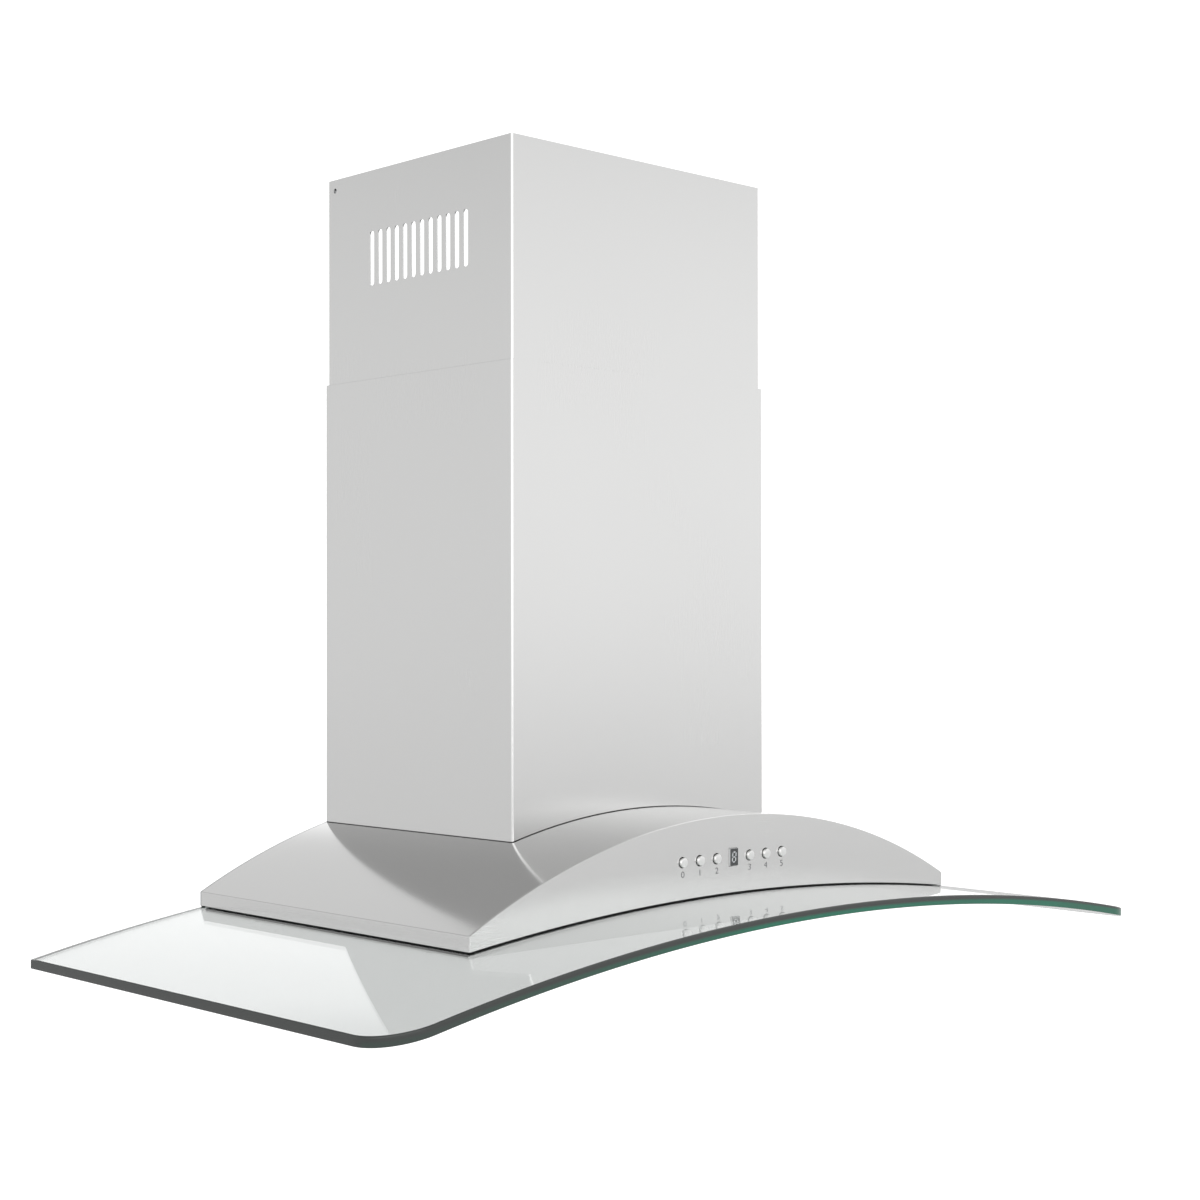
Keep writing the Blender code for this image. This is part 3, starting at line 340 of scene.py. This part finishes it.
def make_glass():
    """One curved pane with eased polished edges, a cut-out under the body and holes for its screws."""
    low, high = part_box("glass_canopy")
    half, front = high.x, low.y
    corner, arris = GLASS_CORNER, GLASS_ARRIS
    edge = GLASS_THICKNESS / 2
    flat = edge - arris
    crown = high.z - edge
    drop = high.z - (low.z + GLASS_THICKNESS)
    radius = (half * half + drop * drop) / (2 * drop)
    tray_low, tray_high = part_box("underside_tray")
    cut_half = tray_high.x - CUTOUT_FROM_TRAY_SIDE
    cut_front, cut_rear = tray_low.y + CUTOUT_FROM_TRAY_FRONT, -CUTOUT_REAR_STRIP
    screw_boxes = [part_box(f"glass_screw_{number}") for number in range(1, 5)]
    screws = [((a.x + b.x) / 2, (a.y + b.y) / 2) for a, b in screw_boxes]

    def sheet_z(x):
        return crown - (radius - math.sqrt(radius * radius - x * x))

    def outer_distance(x, y):
        """How far a point lies inside the outline."""
        side, ahead = half - abs(x), y - front
        if side < corner and ahead < corner:
            return corner - math.hypot(corner - side, corner - ahead)
        return min(side, ahead, -y)

    def cut_distance(x, y):
        """How far a point lies outside the cut-out and the screw holes."""
        dx = abs(x) - cut_half
        dy = max(cut_front - y, y - cut_rear)
        from_cut = max(dx, dy) if min(dx, dy) < 0 else math.hypot(dx, dy)
        return min([from_cut] + [math.hypot(x - a, y - b) - SCREW_HOLE for a, b in screws])

    def half_thickness(x, y):
        reach = min(outer_distance(x, y), cut_distance(x, y))
        if reach >= arris:
            return edge
        return flat + math.sqrt(max(0.0, arris * arris - (arris - reach) ** 2))

    def rounded_outline(step):
        """The outline moved inwards by a step, anticlockwise from the rear left."""
        r, a, f = corner - step, half - step, front + step
        depth_count, width_count, turn_count = 44, 90, 24
        points = [(-a, -step + (f + r + step) * i / depth_count) for i in range(depth_count)]
        for i in range(turn_count + 1):
            t = math.radians(180 + 90 * i / turn_count)
            points.append((-a + r + r * math.cos(t), f + r + r * math.sin(t)))
        points += [(-a + r + 2 * (a - r) * i / width_count, f) for i in range(1, width_count)]
        for i in range(turn_count + 1):
            t = math.radians(270 + 90 * i / turn_count)
            points.append((a - r + r * math.cos(t), f + r + r * math.sin(t)))
        points += [(a, f + r - (f + r + step) * i / depth_count) for i in range(1, depth_count + 1)]
        points += [(a - 2 * a * i / width_count, -step) for i in range(1, width_count)]
        return points

    def cut_outline(step):
        a, f, r = cut_half + step, cut_front - step, cut_rear + step
        count_x, count_y = 60, 34
        points = [(-a + 2 * a * i / count_x, f) for i in range(count_x)]
        points += [(a, f + (r - f) * i / count_y) for i in range(count_y)]
        points += [(a - 2 * a * i / count_x, r) for i in range(count_x)]
        points += [(-a, r - (r - f) * i / count_y) for i in range(count_y)]
        return points

    def hole_outline(centre, step):
        count = 24
        turns = [2 * math.pi * i / count for i in range(count)]
        reach = SCREW_HOLE + step
        return [(centre[0] + reach * math.cos(t), centre[1] + reach * math.sin(t)) for t in turns]

    # Loops of points over the arris, and two beyond it so that its shading doesn't spread over the pane
    arris_count = 5
    turns = [math.radians(90 * i / arris_count) for i in range(1, arris_count + 1)]
    steps = [0.0] + [arris * (1 - math.cos(t)) for t in turns]
    steps += [arris + 0.4 * MM, arris + 2.5 * MM]
    points, lines = [], []
    loops = [rounded_outline(s) for s in steps] + [cut_outline(s) for s in steps]
    loops += [hole_outline(centre, s) for centre in screws for s in steps]
    for loop in loops:
        first = len(points)
        points += loop
        lines += [(first + i, first + (i + 1) % len(loop)) for i in range(len(loop))]
    columns, rows = 112, 24
    for i in range(1, columns):
        x = -half + 2 * half * i / columns
        for j in range(1, rows):
            y = front * j / rows
            if min(outer_distance(x, y), cut_distance(x, y)) > edge + 1 * MM:
                points.append((x, y))
    verts, _, faces, *_ = delaunay_2d_cdt([Vector(p) for p in points], lines, [], 1, 1e-7)
    bm = bmesh.new()
    upper, lower = [], []
    for v in verts:
        h, z = half_thickness(v.x, v.y), sheet_z(v.x)
        upper.append(bm.verts.new((v.x, v.y, z + h)))
        lower.append(bm.verts.new((v.x, v.y, z - h)))
    rounded = []
    for face in faces:
        centre = sum((verts[i] for i in face), Vector((0, 0))) / len(face)
        if cut_distance(centre.x, centre.y) < 0:
            continue
        made = [bm.faces.new([upper[i] for i in face]), bm.faces.new([lower[i] for i in reversed(face)])]
        if min(outer_distance(centre.x, centre.y), cut_distance(centre.x, centre.y)) < arris:
            rounded += made
    place = {vert: number for number, vert in enumerate(upper)}
    for line in [e for e in bm.edges if e.is_boundary and e.verts[0] in place and e.verts[1] in place]:
        a, b = (place[vert] for vert in line.verts)
        rounded.append(bm.faces.new((upper[a], upper[b], lower[b], lower[a])))
    bmesh.ops.recalc_face_normals(bm, faces=bm.faces[:])
    # The arris faces take the edge material, whose colour holds painted reflection and shade.
    for face in rounded:
        face.material_index = 1
    obj = add_piece("glass_pane", bm, "canopy_glass", node="glass_canopy")
    obj.data.materials.append(MATERIALS["glass_edge"])
    obj.modifiers.clear()
    return obj


# ---------------------------------------------------------------- controls


PLANES = {
    "xy": lambda a, b, h: (a, b, h),
    "xz": lambda a, b, h: (a, h, b),
    "yz": lambda a, b, h: (h, a, b),
}


def add_solid(bm, outline, low, high, plane):
    """Adds a straight solid over an outline given in a plane."""
    place = PLANES[plane]
    rings = [[bm.verts.new(place(a, b, h)) for a, b in outline] for h in (low, high)]
    faces = [bm.faces.new(rings[0]), bm.faces.new(rings[1])]
    for i in range(len(outline)):
        faces.append(bm.faces.new((rings[0][i - 1], rings[0][i], rings[1][i], rings[1][i - 1])))
    bmesh.ops.recalc_face_normals(bm, faces=faces)


def add_lathe(bm, profile, centre, plane="xz", steps=64):
    """Adds a solid turned in a plane, from (radius, height) points that start and end on its axis."""
    place = PLANES[plane]
    rings = []
    for radius, height in profile:
        count = steps if radius > 1e-7 else 1
        angles = [2 * math.pi * i / steps for i in range(count)]
        spots = [place(radius * math.cos(t), radius * math.sin(t), height) for t in angles]
        rings.append([bm.verts.new(Vector(spot) + Vector(centre)) for spot in spots])
    faces = []
    for first, second in zip(rings, rings[1:]):
        for i in range(steps):
            ends = [first[i - 1 if len(first) > 1 else 0], first[i % len(first)]]
            ends += [second[i % len(second)], second[i - 1 if len(second) > 1 else 0]]
            corners = list(dict.fromkeys(ends))
            if len(corners) > 2:
                faces.append(bm.faces.new(corners))
    bmesh.ops.recalc_face_normals(bm, faces=faces)


def quarter(inner, outer, start, end, steps=6):
    """Points of a rounded shoulder that runs out to a radius and back to a depth."""
    turns = [math.radians(90 * i / steps) for i in range(steps + 1)]
    return [(inner + (outer - inner) * math.sin(t), end + (start - end) * math.cos(t)) for t in turns]


def make_buttons():
    """Six domed push buttons, each with a rounded shoulder, a flange behind the fascia and a stem."""
    for number in range(1, 7):
        node = f"button_{number}"
        low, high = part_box(node)
        centre = (low + high) / 2
        flange = (high.x - low.x) / 2
        cap = flange - BUTTON_FLANGE
        face, end = low.y, high.y
        dome_reach, shoulder_start = 0.8 * cap, 0.84 * cap
        turns = (0, 0.5, 1.0, 1.45)
        dome = [(dome_reach * math.sin(t), face + 0.18 * MM * (1 - math.cos(t))) for t in turns]
        shoulder = quarter(shoulder_start, cap, face + 0.2 * MM, face + 0.9 * MM)
        seat = fascia_front() + FASCIA_TO_BUTTON_FLANGE
        profile = dome + shoulder + [(cap, seat), (flange - 0.2 * MM, seat), (flange, seat + 0.2 * MM)]
        back = seat + 1.2 * MM
        profile += [(flange, back), (BUTTON_STEM, back), (BUTTON_STEM, end - 0.3 * MM)]
        profile += [(BUTTON_STEM - 0.3 * MM, end), (0, end)]
        bm = bmesh.new()
        add_lathe(bm, profile, (centre.x, 0, centre.z))
        add_piece(f"{node}_finished", bm, "button_metal", node=node, origin=(centre.x, centre.y, centre.z))


def fascia_front():
    """The y of the steel body's front face."""
    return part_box("control_fascia")[0].y


def make_numerals():
    """The digits 0 to 5 printed under the buttons."""
    first_low, first_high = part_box("button_1")
    baseline = (first_low.z + first_high.z) / 2 - NUMERAL_DROP
    for number in range(1, 7):
        low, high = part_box(f"button_{number}")
        curve = bpy.data.curves.new(f"numeral_{number}", "FONT")
        curve.body = str(number - 1)
        curve.size = NUMERAL_SIZE
        curve.align_x = "CENTER"
        curve.extrude = 0.02 * MM
        curve.offset = -0.04 * MM
        scratch = bpy.data.objects.new("scratch", curve)
        bpy.context.scene.collection.objects.link(scratch)
        bpy.context.view_layer.update()
        graph = bpy.context.evaluated_depsgraph_get()
        mesh = bpy.data.meshes.new_from_object(scratch.evaluated_get(graph))
        bpy.data.objects.remove(scratch)
        bm = bmesh.new()
        bm.from_mesh(mesh)
        width_share = 1.2
        turn = Matrix.Rotation(math.pi / 2, 4, "X") @ Matrix.Diagonal((width_share, 1, 1, 1))
        shift = Matrix.Translation(((low.x + high.x) / 2, fascia_front() - PRINT_OUT, baseline))
        bmesh.ops.transform(bm, matrix=shift @ turn, verts=bm.verts[:])
        add_piece(f"numeral_{number - 1}", bm, "ink", body="hood")


def make_display():
    """The dark window with a pale rim round its sides, and the seven lit bars of one digit on its face."""
    window = dress("display_window", "display_lens", edge=0.2 * MM, segments=3)
    window.data.materials.append(MATERIALS["display_rim"])
    for polygon in window.data.polygons:
        if abs(polygon.normal.y) < 0.8:
            polygon.material_index = 1
    low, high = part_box("display_window")
    centre_z = (low.z + high.z) / 2
    half_width, half_height, bar = 2.0 * MM, 4.1 * MM, 0.95 * MM
    level = [(0, half_height), (0, 0), (0, -half_height)]
    upright = [(x, z) for x in (-half_width, half_width) for z in (-half_height / 2, half_height / 2)]
    bm = bmesh.new()
    for x, z in level:
        shape = segment_shape(half_width - 0.75 * bar, bar / 2)
        add_segment(bm, shape, x, z, centre_z, low.y)
    for x, z in upright:
        shape = [(b, a) for a, b in segment_shape(half_height / 2 - 0.35 * bar, bar / 2)]
        add_segment(bm, shape, x, z, centre_z, low.y)
    add_piece("display_digit", bm, "lit_segment", body="hood")


def segment_shape(reach, half_bar):
    """A bar along its first direction, with pointed ends."""
    straight = reach - half_bar
    return [
        (-reach, 0),
        (-straight, -half_bar),
        (straight, -half_bar),
        (reach, 0),
        (straight, half_bar),
        (-straight, half_bar),
    ]


def add_segment(bm, shape, x, z, centre_z, front):
    slant = 0.1
    outline = [(x + a + slant * (z + b), centre_z + z + b) for a, b in shape]
    add_solid(bm, outline, front - PRINT_OUT, front + 0.02 * MM, "xz")


# ---------------------------------------------------------------- filters and lamps


def make_filters():
    """Baffle filters of folded channels: the lower layer opens upwards, and the upper layer downwards."""
    for side in ("left", "right"):
        dress(f"filter_frame_{side}", "aluminium", edge=0.9 * MM, segments=3)
        for level, rise in (("lower", 1), ("upper", -1)):
            node = f"filter_baffle_{level}_{side}"
            bm = node_shape(node)
            round_edges(bm, 0.3 * MM)
            low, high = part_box(node)
            pitch = (high.x - low.x) / BAFFLE_COUNT
            offset = 0 if rise > 0 else 0.5
            centres = [low.x + pitch * (i + offset) for i in range(BAFFLE_COUNT + 1)]
            near, far = low.y + FRAME_LAP, high.y - FRAME_LAP
            sheet = (low.z + high.z) / 2
            for centre in centres:
                for edge in (-1, 1):
                    x = centre + edge * (pitch / 4 - FOLD_INSET)
                    if not low.x + 1 * MM < x < high.x - 1 * MM:
                        continue
                    z0, z1 = sorted((sheet, sheet + rise * FOLD_HEIGHT))
                    add_flange(bm, x, near, far, z0, z1, rise)
            add_piece(f"{node}_finished", bm, "aluminium", node=node)
        make_latch(side)


def add_flange(bm, x, near, far, low, high, rise):
    """One upstanding fold of a baffle, rolled over at its free edge."""
    half, roll = 0.45 * MM, 0.75 * MM
    tip = high if rise > 0 else low
    other = low if rise > 0 else high
    turns = (0.0, 0.5, 1.05, 1.57, 2.1, 2.64, 3.14)
    ring = [(x - half, other), (x + half, other), (x + half, tip - rise * roll)]
    ring += [(x + roll * math.cos(t), tip - rise * roll * (1 - math.sin(t))) for t in turns]
    ring += [(x - half, tip - rise * roll)]
    add_solid(bm, ring, near, far, "xz")


def make_latch(side):
    """A moulded latch with a row of thumb ridges under its face."""
    node = f"filter_latch_{side}"
    bm = node_shape(node)
    round_edges(bm, 0.5 * MM, 3)
    low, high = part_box(node)
    ridge_count, first_ridge, ridge_pitch = 5, 1.7 * MM, 1.15 * MM
    half_foot, half_crest = 0.3 * MM, 0.15 * MM
    foot, crest = low.z + 0.1 * MM, low.z - 0.35 * MM
    for i in range(ridge_count):
        y = low.y + first_ridge + ridge_pitch * i
        ridge = [(y - half_foot, foot), (y - half_crest, crest)]
        ridge += [(y + half_crest, crest), (y + half_foot, foot)]
        add_solid(bm, ridge, low.x + 4 * MM, high.x - 4 * MM, "yz")
    add_piece(f"{node}_finished", bm, "black_plastic", node=node)


def make_lamps():
    """Round lamps: a stepped bezel, and a lens moulded with rings round a raised centre."""
    for side in ("left", "right"):
        dress(f"lamp_housing_{side}", "white_plastic", edge=0.35 * MM, segments=3)
        node = f"lamp_lens_{side}"
        low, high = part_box(node)
        centre = (low + high) / 2
        radius = (high.x - low.x) / 2
        ring_count, ring_points, ring_depth = 12, 4, 0.16 * MM
        point_count = ring_count * ring_points
        rim, ease = radius * 0.97, 0.25 * MM
        profile = [(0, low.z)]
        for i in range(1, point_count):
            dip = ring_depth * (1 - math.cos(2 * math.pi * i / ring_points)) / 2
            profile.append((rim * i / point_count, low.z + dip))
        profile += [(radius - ease, low.z), (radius, low.z + ease), (radius, high.z), (0, high.z)]
        bm = bmesh.new()
        add_lathe(bm, profile, (centre.x, centre.y, 0), "xy", 72)
        add_piece(f"{node}_finished", bm, "lamp_lens", node=node)


# ---------------------------------------------------------------- electrics and fixings


def make_motor():
    """The motor with a row of cooling ribs round its body, and a rounded end."""
    dress("blower_motor", "zinc_steel", edge=0.8 * MM, segments=3)
    low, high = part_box("blower_motor")
    centre = (low + high) / 2
    radius = (high.y - low.y) / 2
    bm = bmesh.new()
    rib_count, half_rib = 24, 0.9 * MM
    foot, tip = radius - 1 * MM, radius + 1.2 * MM
    left_end, right_end = low.x + 16 * MM, high.x - 14 * MM
    for i in range(rib_count):
        t = 2 * math.pi * i / rib_count
        out = Vector((math.cos(t), math.sin(t)))
        across = Vector((-math.sin(t), math.cos(t))) * half_rib
        hub = Vector((centre.y, centre.z))
        corners = (out * foot - across, out * foot + across, out * tip + across, out * tip - across)
        outline = [tuple(hub + corner) for corner in corners]
        add_solid(bm, outline, left_end, right_end, "yz")
    add_piece("motor_ribs", bm, "zinc_steel", body="hood")


def make_box_screws():
    """Four pan-head screws that hold the junction box's cover."""
    low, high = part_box("junction_cover")
    inset, head = 6 * MM, 2.6 * MM
    profile = [(0, -1.3 * MM), (1.2 * MM, -1.25 * MM), (2.2 * MM, -1.0 * MM), (head, -0.5 * MM)]
    profile += [(head, 0.2 * MM), (0, 0.2 * MM)]
    bm = bmesh.new()
    for x in (low.x + inset, high.x - inset):
        for y in (low.y + inset, high.y - inset):
            add_lathe(bm, profile, (x, y, low.z), "xy", 28)
    add_piece("junction_cover_screws", bm, "zinc_steel", body="hood")


def make_foot_seal():
    """A thin seal in the gap between the chimney's foot and the arch."""
    bm = bmesh.new()
    bm.from_mesh(frame["nodes"]["lower_chimney"].data)
    bmesh.ops.remove_doubles(bm, verts=bm.verts[:], dist=0.001 * MM)
    seal_top, seal_bottom = 0.06 * MM, 0.44 * MM  # below the foot
    feet = {}
    for vert in bm.verts:
        place = (round(vert.co.x, 5), round(vert.co.y, 5))
        feet[place] = min(feet.get(place, vert.co.z), vert.co.z)
    for vert in bm.verts:
        foot = feet[(round(vert.co.x, 5), round(vert.co.y, 5))]
        raised = vert.co.z > foot + 1 * MM
        vert.co.z = foot - (seal_top if raised else seal_bottom)
    add_piece("chimney_foot_seal", bm, "foot_seal", body="hood")


# ---------------------------------------------------------------- stage


def make_stage():
    """A pale floor well below the hood, soft light from all round, and the camera."""
    floor_mesh = bpy.data.meshes.new("floor")
    size, floor_z = 30.0, -1.45
    corners = [(-size, -size, floor_z), (size, -size, floor_z), (size, size, floor_z), (-size, size, floor_z)]
    floor_mesh.from_pydata(corners, [], [(0, 1, 2, 3)])
    floor = bpy.data.objects.new("floor", floor_mesh)
    bpy.context.scene.collection.objects.link(floor)
    m = Nodes("pale_floor")
    path = m.node("ShaderNodeLightPath")
    through = m.spread(path.outputs["Is Transmission Ray"], FLOOR_GLOW, SEEN_THROUGH_GLASS, 0, 1)
    glow = m.maths("MAXIMUM", path.outputs["Is Camera Ray"], through)
    m.set(base_color=(0.35, 0.35, 0.35, 1), roughness=0.9)
    m.set(emission_color=(1, 1, 1, 1), emission_strength=glow)
    floor_mesh.materials.append(m.material)

    make_world()
    add_light("key", place=(1.6, -3.2, 1.8), target=(0.0, -0.2, 0.2), size=2.6, power=26)
    add_light("top", place=(-0.4, -0.4, 3.0), target=(0, -0.2, 0), size=2.4, power=18)
    add_camera()
    bpy.context.scene.view_settings.view_transform = "Standard"


def make_world():
    """White where it is seen, and a soft studio where it lights, paler behind the hood and the camera."""
    world = bpy.data.worlds.new("studio")
    bpy.context.scene.world = world
    world.use_nodes = True
    w = Tree(world.node_tree)
    place = w.node("ShaderNodeTexCoord").outputs["Generated"]

    def ramp(value, start, end, low, high):
        return w.spread(value, low, high, start, end, interpolation_type="SMOOTHSTEP")

    def along(direction):
        inputs = {0: place, 1: direction}
        return w.node("ShaderNodeVectorMath", inputs, operation="DOT_PRODUCT").outputs["Value"]

    # Directions as the camera sees them
    right, away, nearer, up = (0.69, -0.72, 0), (0.72, 0.69, 0), (-0.72, -0.69, 0), (0, 0, 1)
    high_right = (0.69, -0.08, 0.7)
    sides = ramp(along(right), -0.9, 0.9, *SIDE_LIGHT)
    walls = w.maths("MULTIPLY", sides, ramp(along(up), 0.12, 0.5, 1.0, HIGH_SHARE))
    behind = ramp(along(away), 0.2, 0.75, 0.0, BEHIND_LIGHT)
    behind = w.maths("MULTIPLY", behind, ramp(along(up), 0.15, 0.5, 1.0, BEHIND_HIGH_SHARE))
    behind = w.maths("MULTIPLY", behind, ramp(along(up), 0.37, 0.43, BEHIND_LOW_SHARE, 1.0))
    behind = w.maths("ADD", behind, ramp(along(high_right), 0.9, 0.97, 0.0, GLINT_LIGHT))
    ahead = ramp(along(nearer), 0.35, 0.8, 0.0, AHEAD_LIGHT)
    light = w.maths("ADD", w.maths("MAXIMUM", walls, behind), ahead)
    path = w.node("ShaderNodeLightPath")
    through = ramp(path.outputs["Is Transmission Ray"], 0, 1, 0.0, SEEN_THROUGH_GLASS)
    seen = w.maths("MAXIMUM", path.outputs["Is Camera Ray"], through)
    background = w.tree.nodes["Background"]
    w.put(background.inputs["Strength"], w.maths("MAXIMUM", light, seen))
    w.put(background.inputs["Color"], (1, 1, 1, 1))


def add_light(name, place, target, size, power):
    """A soft light that brightens surfaces but isn't mirrored in them."""
    data = bpy.data.lights.new(name, "AREA")
    data.shape, data.size, data.energy = "SQUARE", size, power
    obj = bpy.data.objects.new(name, data)
    obj.visible_glossy = False
    obj.location = place
    obj.rotation_euler = (Vector(target) - Vector(place)).to_track_quat("-Z", "Y").to_euler()
    bpy.context.scene.collection.objects.link(obj)


def add_camera():
    """A 60.8 mm lens at chimney height, turned 43.8 degrees from the hood's front."""
    data = bpy.data.cameras.new("camera")
    data.sensor_width, data.lens = 36.0, 60.83
    data.shift_y = 0.0189
    data.clip_end = 200
    camera = bpy.data.objects.new("camera", data)
    place = Matrix.Translation((-1.2601, -1.5147, 0.1730))
    yaw = Matrix.Rotation(math.radians(-43.821), 4, "Z")
    pitch = Matrix.Rotation(math.radians(90.261), 4, "X")
    roll = Matrix.Rotation(math.radians(-0.067), 4, "Z")
    camera.matrix_world = place @ yaw @ pitch @ roll
    bpy.context.scene.collection.objects.link(camera)
    bpy.context.scene.camera = camera


# ---------------------------------------------------------------- assembly

CHIMNEY = ("lower_chimney", "upper_chimney")
BODY_STEEL = ("canopy_shell", "underside_tray")
OWN_SHAPES = ("glass_canopy", "button_", "display_window", "filter_", "lamp_", "blower_motor")
PLAIN_EDGE = (0.25, 2)  # width in millimetres, and segments
EDGES = {
    "control_fascia": (0.5, 3),
    "canopy_shell": (0.45, 3),
    "underside_tray": (0.45, 3),
    "outlet_collar": (0.5, 3),
}


def material_for(node):
    if node in CHIMNEY:
        return "chimney_steel"
    if node == "control_fascia":
        return "fascia_steel"
    if node in BODY_STEEL:
        return "body_steel"
    return slot_of(node)


def main():
    make_glass()
    make_buttons()
    make_numerals()
    make_display()
    make_filters()
    make_lamps()
    make_motor()
    make_box_screws()
    make_foot_seal()
    for node in frame["nodes"]:
        if not node.startswith(OWN_SHAPES):
            edge, segments = EDGES.get(node, PLAIN_EDGE)
            dress(node, material_for(node), edge * MM, segments)
    make_stage()


main()
